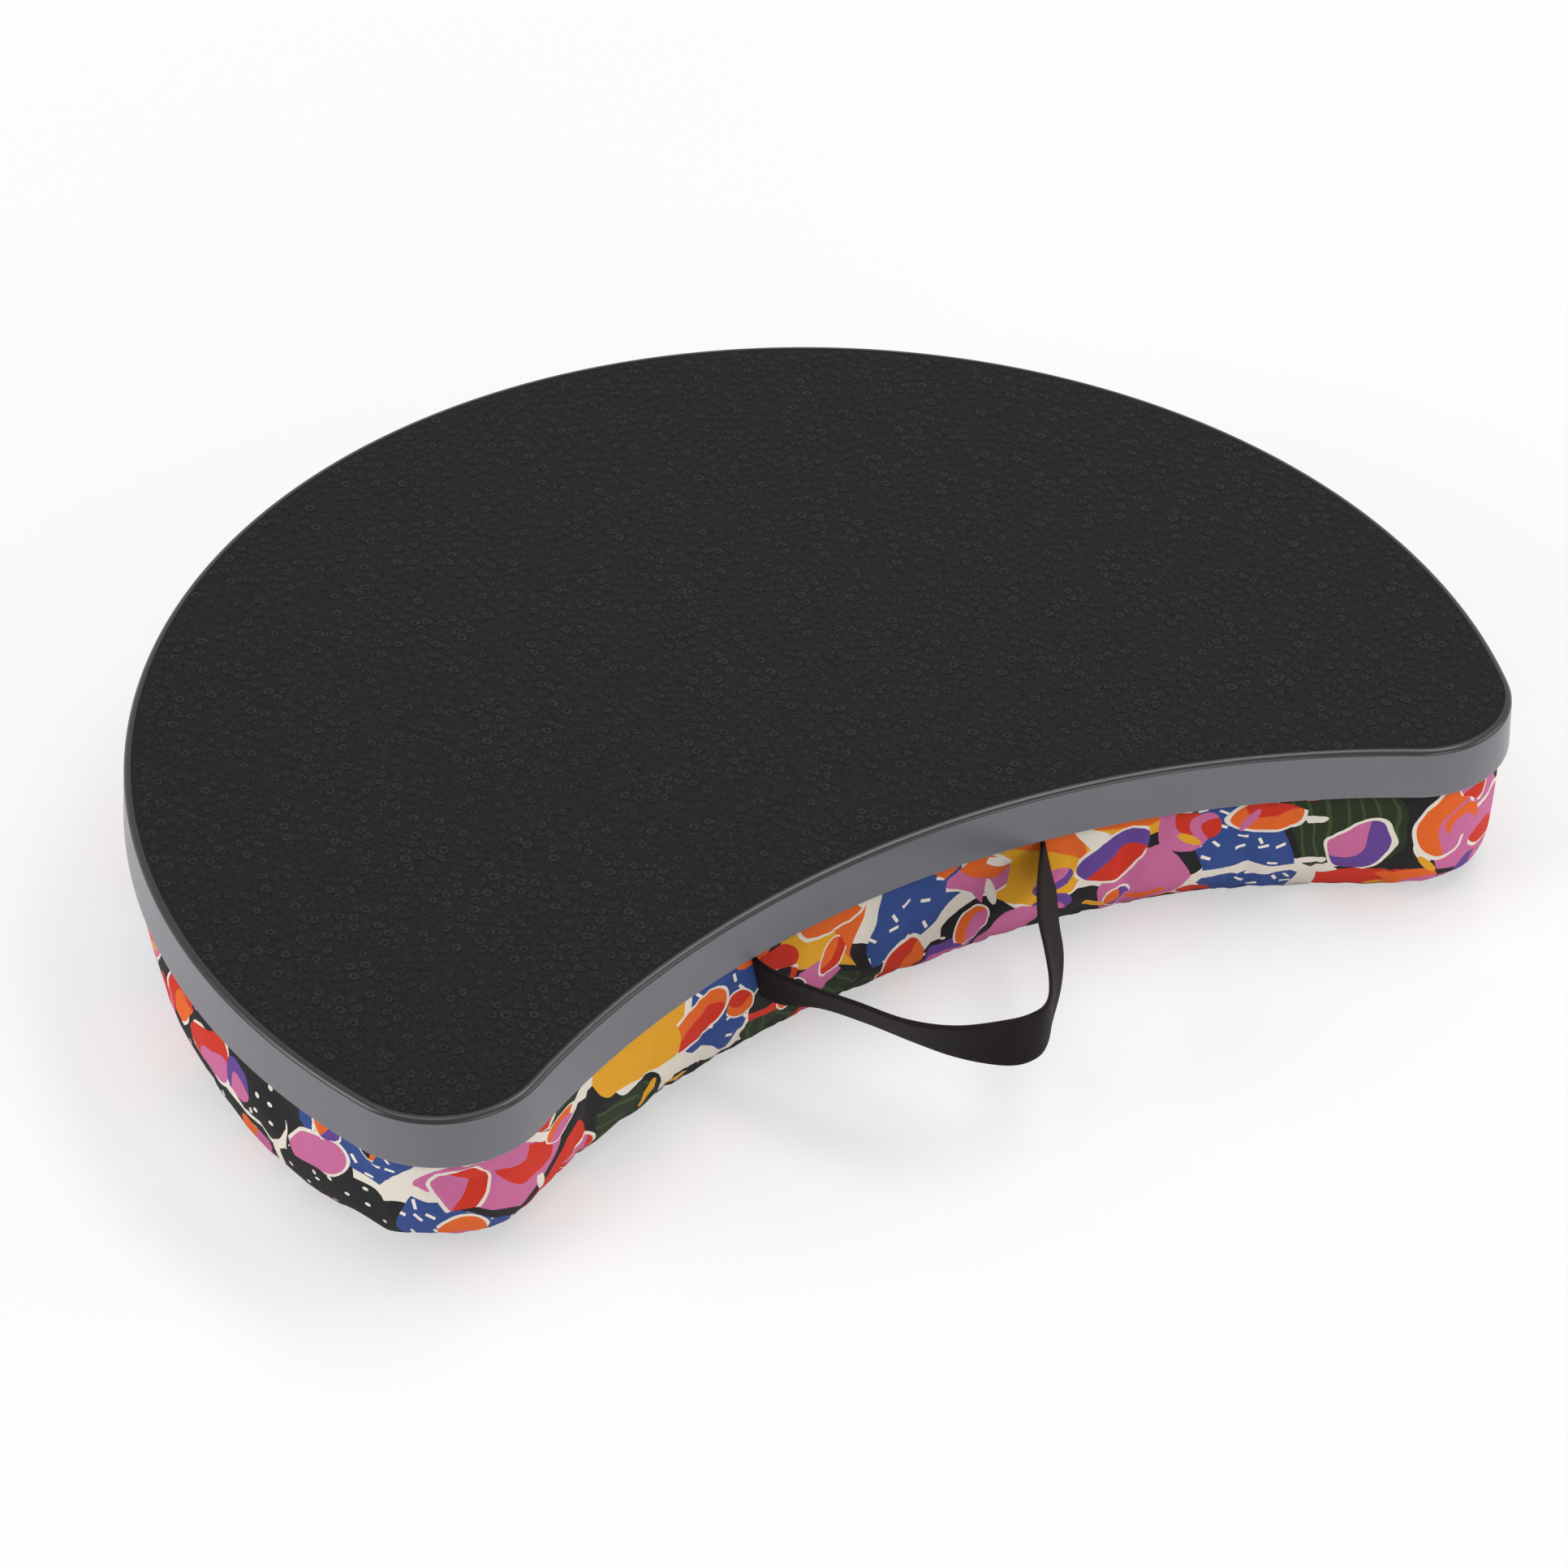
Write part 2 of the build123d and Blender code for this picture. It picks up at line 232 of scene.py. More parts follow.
class Finish:
    """A procedural material: one Principled shader, and the wires that feed it."""

    def __init__(self, name, **settings):
        self.material = bpy.data.materials.new(name)
        self.material.use_nodes = True
        self.tree = self.material.node_tree
        self.shader = self.tree.nodes["Principled BSDF"]
        for key, value in settings.items():
            self.shader.inputs[key.replace("_", " ")].default_value = value

    def node(self, kind, settings=None, *values, output=0, **named):
        return shader_node(self.tree, "ShaderNode" + kind, settings or {}, *values, output=output, **named)

    def place(self):
        """Object coordinates, in metres of the row's frame."""
        return self.node("TexCoord", output="Object")

    def cloth(self):
        """The piece's own map, in metres along and across the cloth."""
        return self.node("UVMap", {"uv_map": "Cloth"})

    def parts(self, vector):
        split = self.node("SeparateXYZ", None, vector)
        node = split.socket.node
        return [Wire(self.tree, socket) for socket in node.outputs]

    def noise(self, vector, size, detail=2.0, roughness=0.5):
        """Noise from 0 to 1 whose lumps are about size across."""
        return self.node("TexNoise", None, Vector=vector, Scale=1 / size, Detail=detail, Roughness=roughness)

    def vector(self, operation, *values):
        return self.node("VectorMath", {"operation": operation}, *values)

    def scaled(self, vector, factor):
        return self.node("VectorMath", {"operation": "SCALE"}, vector, Scale=factor)

    def mix(self, factor, first, second):
        """Two colours or colour wires, mixed."""
        node = self.tree.nodes.new("ShaderNodeMix")
        node.data_type = "RGBA"
        for key, value in (("Factor_Float", factor), ("A_Color", first), ("B_Color", second)):
            socket = next(s for s in node.inputs if s.identifier == key)
            if isinstance(value, Wire):
                self.tree.links.new(value.socket, socket)
            else:
                socket.default_value = value if isinstance(value, (int, float)) else (*value, 1.0)
        return Wire(self.tree, next(s for s in node.outputs if s.identifier == "Result_Color"))

    def steps(self, value, stops):
        """A ramp with flat steps of colour: each stop is a place and a colour."""
        node = self.tree.nodes.new("ShaderNodeValToRGB")
        ramp = node.color_ramp
        ramp.interpolation = "CONSTANT"
        while len(ramp.elements) < len(stops):
            ramp.elements.new(1.0)
        for element, (position, shade) in zip(ramp.elements, stops):
            element.position = position
            element.color = (*shade, 1.0)
        self.tree.links.new(value.socket, node.inputs["Fac"])
        return Wire(self.tree, node.outputs["Color"])

    def bump(self, height, depth, under=None):
        """A bump of a height from 0 to 1 that stands depth metres proud."""
        return self.node("Bump", None, Strength=1.0, Distance=depth, Height=height, Normal=under)

    def finish(self, colour=None, roughness=None, normal=None):
        for key, value in (("Base Color", colour), ("Roughness", roughness), ("Normal", normal)):
            if isinstance(value, Wire):
                self.tree.links.new(value.socket, self.shader.inputs[key])
            elif value is not None:
                self.shader.inputs[key].default_value = (*value, 1.0) if key == "Base Color" else value
        return self.material


def shade(base, factor):
    """A colour made lighter or darker."""
    return tuple(min(1.0, channel * factor) for channel in base)


def moulded_plastic(deck):
    """Satin moulded plastic: a fine spark texture, a painted highlight in patches along the lower edge, and a black rim
    over a thin line of painted shade.
    """
    made = Finish("moulded plastic", Specular_IOR_Level=0.5)
    base = deck.plastic
    place = made.place()
    height = made.parts(place)[2]
    spark_size, spark_depth, smudge_size = 0.45 * MM, 0.012 * MM, 45 * MM
    edge_highlight_height, edge_highlight_patch = 0.9 * MM, 20 * MM
    grain = made.noise(place, spark_size, 3.0, 0.6)
    smudge = made.noise(place, smudge_size, 4.0, 0.6)
    drop = deck_high.z + deck.skin - height
    rim = drop < deck.rim_depth
    # a thin dark line just under the black rim: painted shade in the groove between rim and skirt
    line = (drop > deck.rim_depth) * (drop < deck.rim_depth + deck.parting)
    # a lighter band in patches along the skirt's lower edge: a painted highlight
    painted_edge_highlight = (1.0 - (height - deck_low.z) / edge_highlight_height).limited() * made.noise(place, edge_highlight_patch, 3.0, 0.6)
    tone = made.mix(smudge, shade(base, 0.93), shade(base, 1.07))
    tone = made.mix(painted_edge_highlight * 0.6, tone, shade(base, 2.2))
    tone = made.mix(rim, tone, deck.rim)
    tone = made.mix(line, tone, shade(base, 0.35))
    roughness = 0.22 + smudge * 0.08 + grain * 0.04
    return made.finish(tone, roughness, made.bump(grain, spark_depth))


def pebbled_rubber(base, rise):
    """Black sheet: uneven gaps with painted shade in the hollows of their lumps, crests painted lighter as a highlight,
    pits painted darker as shade, and a fine grain over all.
    """
    made = Finish("pebbled sheet", Specular_IOR_Level=0.06)
    place = made.place()
    lift = (made.parts(place)[2] - sheet_high.z) / rise
    crest = lift.limited()
    pit = between(lift, 0.02, 1.0) * (1.0 - crest) ** 2
    grain_size, lump_size, cloud_size = 0.5 * MM, 1.9 * MM, 60 * MM
    grain_depth, lump_depth = 0.03 * MM, 0.16 * MM
    grain = made.noise(place, grain_size, 3.0, 0.65)
    lump = ((made.noise(place, lump_size, 2.0, 0.6) - 0.32) * 2.8).limited()
    cloud = made.noise(place, cloud_size, 3.0, 0.55)
    # darker in the low parts of the lumps and lighter on their tops: painted shade and painted highlight that follow
    # the lump bump
    tone = made.mix(lump * 0.5, shade(base, 0.55), shade(base, 2.2))
    tone = made.mix(cloud * 0.3, tone, base)
    # the pebbles' crests painted lighter: a painted highlight
    tone = made.mix(crest**1.5 * (lump * 0.6 + 0.3), tone, shade(base, 3.0))
    # the pebbles' pits painted darker: painted shade in the dimples
    tone = made.mix(pit * 0.85, tone, shade(base, 0.15))
    tone = made.mix(grain * 0.25, tone, shade(base, 1.6))
    bump = made.bump(grain, grain_depth, made.bump(lump, lump_depth))
    return made.finish(tone, 0.52 + grain * 0.12 - crest * 0.16, bump)


def turned(made, point, angle):
    """The two plan coordinates of a point, turned by an angle wire."""
    x, y, _ = made.parts(point)
    return x * angle.cosine() + y * angle.sine(), y * angle.cosine() - x * angle.sine()


def scatter(made, cloth, size, spread, shift):
    """A scattered layout: each cell's own point, its three random numbers, and the distance to the cell's edge."""
    moved = made.vector("ADD", made.scaled(cloth, 1 / size), shift)
    flat = {"voronoi_dimensions": "2D"}
    cell = made.node("TexVoronoi", flat, Vector=moved, Scale=1.0, Randomness=spread, output="Position")
    chance = made.parts(Wire(made.tree, cell.socket.node.outputs["Color"]))
    flat = {"voronoi_dimensions": "2D", "feature": "DISTANCE_TO_EDGE"}
    edge = made.node("TexVoronoi", flat, Vector=moved, Scale=1.0, Randomness=spread, output="Distance")
    return made.vector("SUBTRACT", moved, cell), chance, edge


def oval(along, across, half_length, half_width):
    """The field of an oval: 1 on its outline, less inside."""
    return ((along / half_length) ** 2 + (across / half_width) ** 2) ** 0.5


def between(value, low, high):
    """1 where a value lies between two limits."""
    return (value > low) * (value < high)


def crossed(along, across, pitch_along, pitch_across):
    """A weave's height from 0 to 1: two rows of waves that cross."""
    return (along * (2 * pi / pitch_along)).sine() * (across * (2 * pi / pitch_across)).sine() * 0.5 + 0.5


def printed_cotton(cushion):
    """Printed canvas: cut-paper shapes, two-tone ovals and petals, scattered over a cream and dark ground."""
    made = Finish("printed cotton", Specular_IOR_Level=0.12, Sheen_Weight=0.04, Sheen_Roughness=0.5)
    cloth = made.cloth()
    size = cushion.motif
    sway = made.node("TexNoise", None, Vector=cloth, Scale=1 / (0.7 * size), Detail=1.2, output="Color")
    wavy = made.vector("ADD", cloth, made.scaled(made.vector("SUBTRACT", sway, (0.5, 0.5, 0.5)), 0.42 * size))

    local, chance, edge = scatter(made, wavy, size, 0.85, (3.3, 1.7, 0.0))
    along, across = turned(made, local, chance[1] * (2 * pi))
    shape = (edge > 0.025 + chance[2] * 0.065) * (oval(along, across, 0.72, 0.56) < 1.0)
    paper = made.steps(chance[0], (
        (0.0, cushion.ink), (0.25, cushion.leaf), (0.52, cushion.blue), (0.66, cushion.yellow),
        (0.78, cushion.red), (0.88, cushion.pink),
    ))
    ground = made.mix(made.noise(cloth, 1.3 * size, 1.0, 0.5) > 0.49, cushion.cream, cushion.ink)
    tone = made.mix(shape, ground, paper)

    dash, luck, _ = scatter(made, cloth, 0.17 * size, 0.75, (0.4, 5.2, 0.0))
    dash_along, dash_across = turned(made, dash, luck[1] * 1.9 - 0.4)
    stroke = (abs(dash_along) < 0.27) * (abs(dash_across) < 0.085) * (luck[2] > 0.25)
    tone = made.mix(shape * between(chance[0], 0.52, 0.66) * stroke, tone, shade(cushion.cream, 1.12))
    vein = abs((across * 7.0 + along * along * 4.0).fraction() - 0.5) < 0.10
    tone = made.mix(shape * between(chance[0], 0.25, 0.52) * vein, tone, shade(cushion.leaf, 2.6))
    seed = oval(dash_along, dash_across, 0.16, 0.11) < 1.0
    tone = made.mix(shape * (chance[0] < 0.25) * seed * (luck[0] > 0.45), tone, cushion.cream)
    moon = (across > 0.12) * (oval(along, across, 0.5, 0.42) < 1.0)
    tone = made.mix(shape * between(chance[0], 0.66, 0.78) * moon, tone, cushion.orange)

    for share, scale, shown_from, shift in ((0.70, 0.42, 0.52, (7.1, 2.9, 0.0)), (0.46, 0.38, 0.74, (1.9, 8.3, 0.0))):
        local, chance, edge = scatter(made, wavy, share * size, 0.7, shift)
        along, across = turned(made, local, chance[1] * (2 * pi))
        field = oval(along, across, scale * 1.12, scale * 0.80)
        shown = (chance[2] > shown_from) * (edge > 0.03)
        ringed = (field < 1.12) * shown * (chance[0] > 0.45)
        first = made.steps(chance[0], (
            (0.0, cushion.pink), (0.34, cushion.red), (0.55, cushion.pink), (0.78, cushion.orange), (0.92, cushion.ink),
        ))
        second = made.steps((chance[0] * 3.7).fraction(), (
            (0.0, cushion.pink), (0.30, cushion.red), (0.55, cushion.orange), (0.80, cushion.violet),
        ))
        tone = made.mix(ringed, tone, cushion.cream)
        tone = made.mix((field < 1.0) * shown, tone, first)
        tone = made.mix((field < 1.0) * shown * (across + along * along * 1.5 > 0.07), tone, second)

    local, chance, _ = scatter(made, cloth, 0.42 * size, 0.9, (4.4, 0.8, 0.0))
    along, across = turned(made, local, chance[1] * (2 * pi))
    petal = (oval(along, across, 0.34, 0.10) < 1.0) * (chance[2] > 0.80)
    small = made.steps(chance[0], ((0.0, cushion.cream), (0.45, cushion.yellow), (0.75, cushion.pink)))
    tone = made.mix(petal, tone, small)

    pitch, fuzz_size, weave_depth = 0.62 * MM, 1.6 * MM, 0.09 * MM
    join_width, shadow_depth = 0.5 * MM, 6 * MM
    along, across, _ = made.parts(cloth)
    tone = made.mix((along < join_width) * 0.85, tone, cushion.ink)
    weave = crossed(along, across, pitch, pitch)
    fuzz = made.noise(cloth, fuzz_size, 3.0, 0.6)
    tone = made.mix(fuzz * 0.06, tone, (0.03, 0.03, 0.03))
    tone = made.mix(weave * 0.03, tone, (0.75, 0.72, 0.68))
    height = made.parts(made.place())[2]
    shadow = ((height - (deck_low.z - shadow_depth)) / shadow_depth).limited() ** 1.5 * 0.8
    tone = made.mix(shadow, tone, cushion.ink)
    return made.finish(tone, 0.74 + fuzz * 0.12, made.bump(weave * 0.6 + fuzz * 0.4, weave_depth))


def plain_cloth(name, base, pitch):
    """Plain woven cloth on its own map."""
    made = Finish(name, Specular_IOR_Level=0.15, Sheen_Weight=0.04)
    cloth = made.cloth()
    along, across, _ = made.parts(cloth)
    weave_depth = 0.08 * MM
    weave = crossed(along, across, pitch, pitch)
    fuzz = made.noise(cloth, 3 * pitch, 3.0, 0.6)
    tone = made.mix(fuzz, shade(base, 0.8), shade(base, 1.35))
    return made.finish(tone, 0.78 + fuzz * 0.1, made.bump(weave * 0.7 + fuzz * 0.3, weave_depth))


def webbing_weave(base):
    """Plain-woven webbing: close ribs across it and threads along it, the raised weave painted lighter as a highlight.
    """
    made = Finish("webbing", Specular_IOR_Level=0.10, Sheen_Weight=0.02)
    cloth = made.cloth()
    along, across, _ = made.parts(cloth)
    rib_pitch, thread_pitch, fuzz_size, weave_depth = 1.15 * MM, 1.6 * MM, 2 * MM, 0.16 * MM
    weave = crossed(along, across, rib_pitch, thread_pitch)
    fuzz = made.noise(cloth, fuzz_size, 3.0, 0.6)
    # lighter on the raised weave: a painted highlight; the fuzz adds a random tone
    tone = made.mix(weave * 0.6 + fuzz * 0.3, shade(base, 0.75), shade(base, 2.1))
    return made.finish(tone, 0.62 + fuzz * 0.12, made.bump(weave, weave_depth))


def stitch_thread(name, base):
    """Twisted polyester thread."""
    made = Finish(name, Specular_IOR_Level=0.4, Roughness=0.5)
    place = made.place()
    twist_size, twist_depth = 0.35 * MM, 0.04 * MM
    twist = made.noise(place, twist_size, 2.0, 0.5)
    return made.finish(made.mix(twist, shade(base, 0.7), shade(base, 1.4)), None, made.bump(twist, twist_depth))


def hardboard():
    """Pressed wood fibre: fine flecks and a faint screen mark."""
    made = Finish("hardboard", Specular_IOR_Level=0.3)
    place = made.place()
    fleck_size, cloud_size, screen_pitch, screen_depth = 1.8 * MM, 40 * MM, 2.2 * MM, 0.1 * MM
    fleck = made.noise(place, fleck_size, 6.0, 0.75)
    cloud = made.noise(place, cloud_size, 3.0, 0.5)
    x, y, _ = made.parts(place)
    screen = crossed(x, y, screen_pitch, screen_pitch)
    tone = made.mix(fleck, (0.085, 0.042, 0.018), (0.26, 0.155, 0.078))
    tone = made.mix(cloud * 0.3, tone, (0.16, 0.085, 0.04))
    return made.finish(tone, 0.6 + fleck * 0.2, made.bump(fleck * 0.6 + screen * 0.4, screen_depth))


def zinc_steel(name, tint):
    """Bright zinc-plated steel with a faint mottle."""
    made = Finish(name, Metallic=1.0)
    place = made.place()
    mottle_size, mottle_depth = 1.2 * MM, 0.01 * MM
    mottle = made.noise(place, mottle_size, 4.0, 0.6)
    tone = made.mix(mottle, shade(tint, 0.85), tint)
    return made.finish(tone, 0.26 + mottle * 0.16, made.bump(mottle, mottle_depth))


def bead_foam():
    """White polystyrene beads, pressed together, with painted shade where they meet."""
    made = Finish("polystyrene beads", Specular_IOR_Level=0.4)
    place = made.place()
    bead_size, bead_depth = 3.0 * MM, 0.5 * MM
    bead = made.node("TexVoronoi", {"feature": "F1"}, Vector=place, Scale=1 / bead_size, output="Distance")
    # white at each bead's middle and darker towards where beads meet: painted shade in the crevices
    tone = made.mix(bead.limited(), (0.90, 0.90, 0.90), (0.70, 0.70, 0.71))
    return made.finish(tone, 0.55 + bead * 0.1, made.bump(1 - bead, bead_depth))


def give(obj, material):
    """Puts one material on an object."""
    obj.data.materials.clear()
    obj.data.materials.append(material)
    return obj


def new_object(name, vertices, faces, material, smooth=True):
    """A mesh object at the origin."""
    mesh = bpy.data.meshes.new(name)
    mesh.from_pydata([tuple(v) for v in vertices], [], faces)
    mesh.update()
    obj = bpy.data.objects.new(name, mesh)
    bpy.context.collection.objects.link(obj)
    mesh.polygons.foreach_set("use_smooth", [smooth] * len(mesh.polygons))
    return give(obj, material)


def applied(obj):
    """Bakes an object's modifiers into its own mesh."""
    graph = bpy.context.evaluated_depsgraph_get()
    mesh = bpy.data.meshes.new_from_object(obj.evaluated_get(graph))
    mesh.name = obj.name
    obj.modifiers.clear()
    obj.data = mesh
    return obj


class Outline:
    """The tray's plan as tangent arcs, walked anticlockwise from the middle of the round back."""

    def __init__(self, sizes, long_count=132, corner_count=18):
        back, corner, hollow = sizes.back_radius, sizes.corner_radius, sizes.hollow_radius
        hollow_y = back - sizes.centre_depth - hollow
        reach = back - corner
        corner_y = ((hollow + corner) ** 2 - reach**2 - hollow_y**2) / (-2 * hollow_y)
        corner_x = sqrt(reach**2 - corner_y**2)
        lean = atan2(corner_y, corner_x)
        front = atan2(hollow_y - corner_y, corner_x)
        half = long_count // 2
        arcs = (
            ((0, 0), back, pi / 2, pi - lean, half, 0.5, 0.0),
            ((-corner_x, corner_y), corner, pi - lean, 2 * pi + front, corner_count, 0.0, 0.0),
            ((0, hollow_y), -hollow, 2 * pi + front, pi - front, long_count, 0.0, 1.0),
            ((corner_x, corner_y), corner, pi - front, 2 * pi + lean, corner_count, 1.0, 1.0),
            ((0, 0), back, 2 * pi + lean, 2.5 * pi, half, 1.0, 0.5),
        )
        rows = []
        for (x, y), radius, start, end, count, spine_start, spine_end in arcs:
            for step in range(count):
                share = step / count
                angle = start + (end - start) * share
                rows.append((x, y, radius, angle, spine_start + (spine_end - spine_start) * share))
        table = np.array(rows)
        self.centre, self.radius, self.angle, self.spine_share = table[:, :2], table[:, 2], table[:, 3], table[:, 4]
        self.out = np.stack([np.cos(self.angle), np.sin(self.angle)], axis=1)
        self.corner = (corner_x, corner_y)
        middle = back - sizes.centre_depth / 2
        rise = middle - corner_y
        spine_radius = (corner_x**2 + rise**2) / (2 * rise)
        spine_y = middle - spine_radius
        sweep = atan2(corner_y - spine_y, corner_x)
        turn = (pi - sweep) + (2 * sweep - pi) * self.spine_share
        self.spine = np.stack([spine_radius * np.cos(turn), spine_y + spine_radius * np.sin(turn)], axis=1)
        edge = self.ring(sizes.corner_radius / 10)
        self.arc = running(np.vstack([edge, edge[:1]]))
        self.count = len(rows)

    def ring(self, inset):
        """The plan points at an inset, which may differ from point to point."""
        return self.centre + (self.radius - inset)[:, None] * self.out

    def row(self, inset, height):
        """One ring of 3-D points at an inset and a height."""
        plan = self.ring(inset)
        return np.column_stack([plan, np.broadcast_to(height, self.count)])

    def inward(self, inset, height, share):
        """A ring drawn from an inset towards the spine by a share."""
        plan = self.ring(inset) * (1 - share) + self.spine * share
        return np.column_stack([plan, np.broadcast_to(height, self.count)])


def ring_faces(rings, count):
    """The faces between closed rings of count points each."""
    return [
        (ring + i, ring + count + i, ring + count + (i + 1) % count, ring + (i + 1) % count)
        for ring in range(0, (rings - 1) * count, count) for i in range(count)
    ]


def end_faces(rings, count):
    """One face over the first ring and one over the last."""
    last = (rings - 1) * count
    return [tuple(range(count)), tuple(last + i for i in reversed(range(count)))]


def running(points):
    """How far each point of a line lies from its first, along the line."""
    return np.concatenate([[0.0], np.cumsum(np.linalg.norm(np.diff(points, axis=0), axis=1))])


def cloth_map(obj, places):
    """Writes a piece's own map, in metres of cloth, one place for each corner of its faces."""
    layer = obj.data.uv_layers.get("Cloth") or obj.data.uv_layers.new(name="Cloth")
    layer.data.foreach_set("uv", np.array(places).ravel())


def sheet_mesh(name, rows, material, outline):
    """A mesh through closed rings of points, mapped in metres along the outline and across the rings."""
    rows = np.asarray(rows)
    gaps = np.linalg.norm(np.diff(rows, axis=0), axis=2).mean(axis=1)
    across = np.concatenate([[0.0], np.cumsum(gaps)])
    obj = new_object(name, rows.reshape(-1, 3), ring_faces(len(rows), outline.count), material)
    cloth_map(obj, [
        place for low, high in zip(across, across[1:]) for left, right in zip(outline.arc, outline.arc[1:])
        for place in ((left, low), (left, high), (right, high), (right, low))
    ])
    return obj


def plan_map(obj):
    """Maps a flat panel in metres on its plan."""
    cloth_map(obj, [obj.data.vertices[loop.vertex_index].co[:2] for loop in obj.data.loops])


def merged(obj):
    """Welds a mesh's doubles."""
    form = bmesh.new()
    form.from_mesh(obj.data)
    bmesh.ops.remove_doubles(form, verts=form.verts, dist=0.001 * MM)
    bmesh.ops.dissolve_degenerate(form, edges=form.edges, dist=0.0001 * MM)
    form.to_mesh(obj.data)
    form.free()
    return obj


def thick(obj, depth):
    """Gives an open sheet its thickness, inwards from its face."""
    wall = obj.modifiers.new("Thickness", "SOLIDIFY")
    wall.thickness = depth
    wall.offset = -1.0
    wall.use_even_offset = True
    applied(obj)


SIDE = (
    # share of the outline from the middle of the back, lift, width of the rounded edge, inset of the side, in mm
    (0.00, 0.0, 20.0, 2.8), (0.22, 0.0, 26.0, 3.9), (0.29, 0.0, 13.0, 3.4), (0.33, 5.0, 21.0, 3.5),
    (0.35, 7.7, 30.0, 3.6), (0.37, 1.5, 22.0, 3.0), (0.42, 0.0, 20.0, 2.9), (0.50, 0.0, 16.0, 2.5),
    (0.58, 0.0, 21.0, 2.5), (0.63, 0.0, 19.6, 2.1), (0.65, 9.3, 14.4, 1.5), (0.67, 5.2, 7.1, 1.2),
    (0.73, 3.6, 9.0, 1.4), (1.00, 0.0, 20.0, 2.8),
)


def round_outline(outline, shares, values):
    """Values given at a few shares of the closed outline, drawn smooth over all of its points."""
    line = np.interp(outline.arc[:-1] / outline.arc[-1], shares, values)
    weights = np.exp(-0.5 * (np.arange(-9, 10) / 4.0) ** 2)
    return np.convolve(np.concatenate([line[-9:], line, line[:9]]), weights / weights.sum(), mode="valid")


def bead_swell(rows, outline, slack, most):
    """Cloth simulation of the cushion's side: the beads press the slack fabric out between its hem and its seam."""
    loose_rows, held_top, held_from, steps = 12, 2, 14, 20
    index = np.arange(len(rows))
    hang = np.clip(np.sin(pi * index / loose_rows), 0.0, 1.0) * (index < loose_rows)
    start = rows.copy()
    start[:, :, :2] -= slack * hang[:, None, None] * outline.out
    count = outline.count
    faces = ring_faces(len(rows), count) + end_faces(len(rows), count)
    body = new_object("swelling", start.reshape(-1, 3), faces, None)
    held = body.vertex_groups.new(name="held")
    held.add(list(range(held_top * count)) + list(range(held_from * count, len(rows) * count)), 1.0, "REPLACE")
    cloth = body.modifiers.new("Cloth", "CLOTH")
    settings = cloth.settings
    settings.quality = 5
    settings.mass = 0.2
    settings.tension_stiffness = settings.compression_stiffness = 25
    settings.bending_stiffness = 0.6
    settings.shrink_min = -0.012
    settings.use_pressure = True
    settings.uniform_pressure_force = 4.0
    settings.effector_weights.gravity = 0.0
    settings.vertex_group_mass = "held"
    cloth.collision_settings.use_collision = False
    scene = bpy.context.scene
    for step in range(1, steps + 1):
        scene.frame_set(step)
    graph = bpy.context.evaluated_depsgraph_get()
    moved = body.evaluated_get(graph).to_mesh()
    shift = np.array([v.co for v in moved.vertices]).reshape(rows.shape) - start
    scene.frame_set(1)
    size = np.linalg.norm(shift, axis=2, keepdims=True)
    shift *= np.minimum(1.0, most / np.maximum(size, 1e-9))
    bpy.data.objects.remove(body)
    return start + shift


def cushion_rows(cushion, outline):
    """The cushion's side from under the skirt to its flat bottom, with the uneven front corners of a filled bag."""
    top = panel_low.z
    shares, *columns = np.array(SIDE).T
    lift, round_width, side_inset = [round_outline(outline, shares, column * MM) for column in columns]
    flattest, tallest, flat_cut = 14 * MM, 40 * MM, 0.5 * MM
    fullest = np.clip(1.6 * round_width, flattest, tallest)
    rows = []
    for share in np.linspace(0.0, 1.0, 6):
        height = top + (fullest - top) * share
        rows.append(outline.row(side_inset + (cushion.tuck - side_inset) * (1 - share) ** 2, height))
    for turn in np.linspace(0.0, pi / 2, 12)[1:]:
        height = np.maximum(fullest - (fullest + flat_cut) * sin(turn), 0.0) + lift * sin(turn) ** 4
        rows.append(outline.row(side_inset + round_width * (1 - cos(turn)), height))
    for share in (0.5, 1.0):
        inset = (side_inset + round_width) * (1 - share) + cushion.flat_inset * share
        rows.append(outline.row(inset, lift * (1 - share)))
    return np.array(rows)


def gathers(rows, outline, depth):
    """Small puckers that run down from the hem and up from the seam, deeper at the corners."""
    run = outline.arc[:-1]
    total = outline.arc[-1]
    chance = np.random.default_rng(11)
    wave = np.zeros(outline.count)
    for waves in (48, 61, 77, 94, 123, 151):
        wave += np.sin(2 * pi * waves * run / total + chance.uniform(0, 2 * pi)) * chance.uniform(0.4, 1.0)
    wave /= np.abs(wave).max()
    corner_reach, hem_reach, seam_reach, seam_middle = 60 * MM, 15 * MM, 9 * MM, 3 * MM
    from_corner = np.abs(rows[0][:, 0]) - outline.corner[0]
    tight = 0.45 + 0.55 * np.exp(-(from_corner / corner_reach) ** 2) * (rows[0][:, 1] < 0)
    drawn = rows.copy()
    tall = panel_low.z
    for index, row in enumerate(rows):
        height = row[:, 2].mean()
        from_hem = np.exp(-((tall - height) / hem_reach) ** 2)
        from_seam = np.exp(-((height - seam_middle) / seam_reach) ** 2)
        held = 0.35 if index == 0 else 1.0
        push = depth * held * (wave * tight * (from_hem + 0.8 * from_seam) + 0.35 * np.roll(wave, 37))
        drawn[index, :, :2] += outline.out * push[:, None]
    return drawn


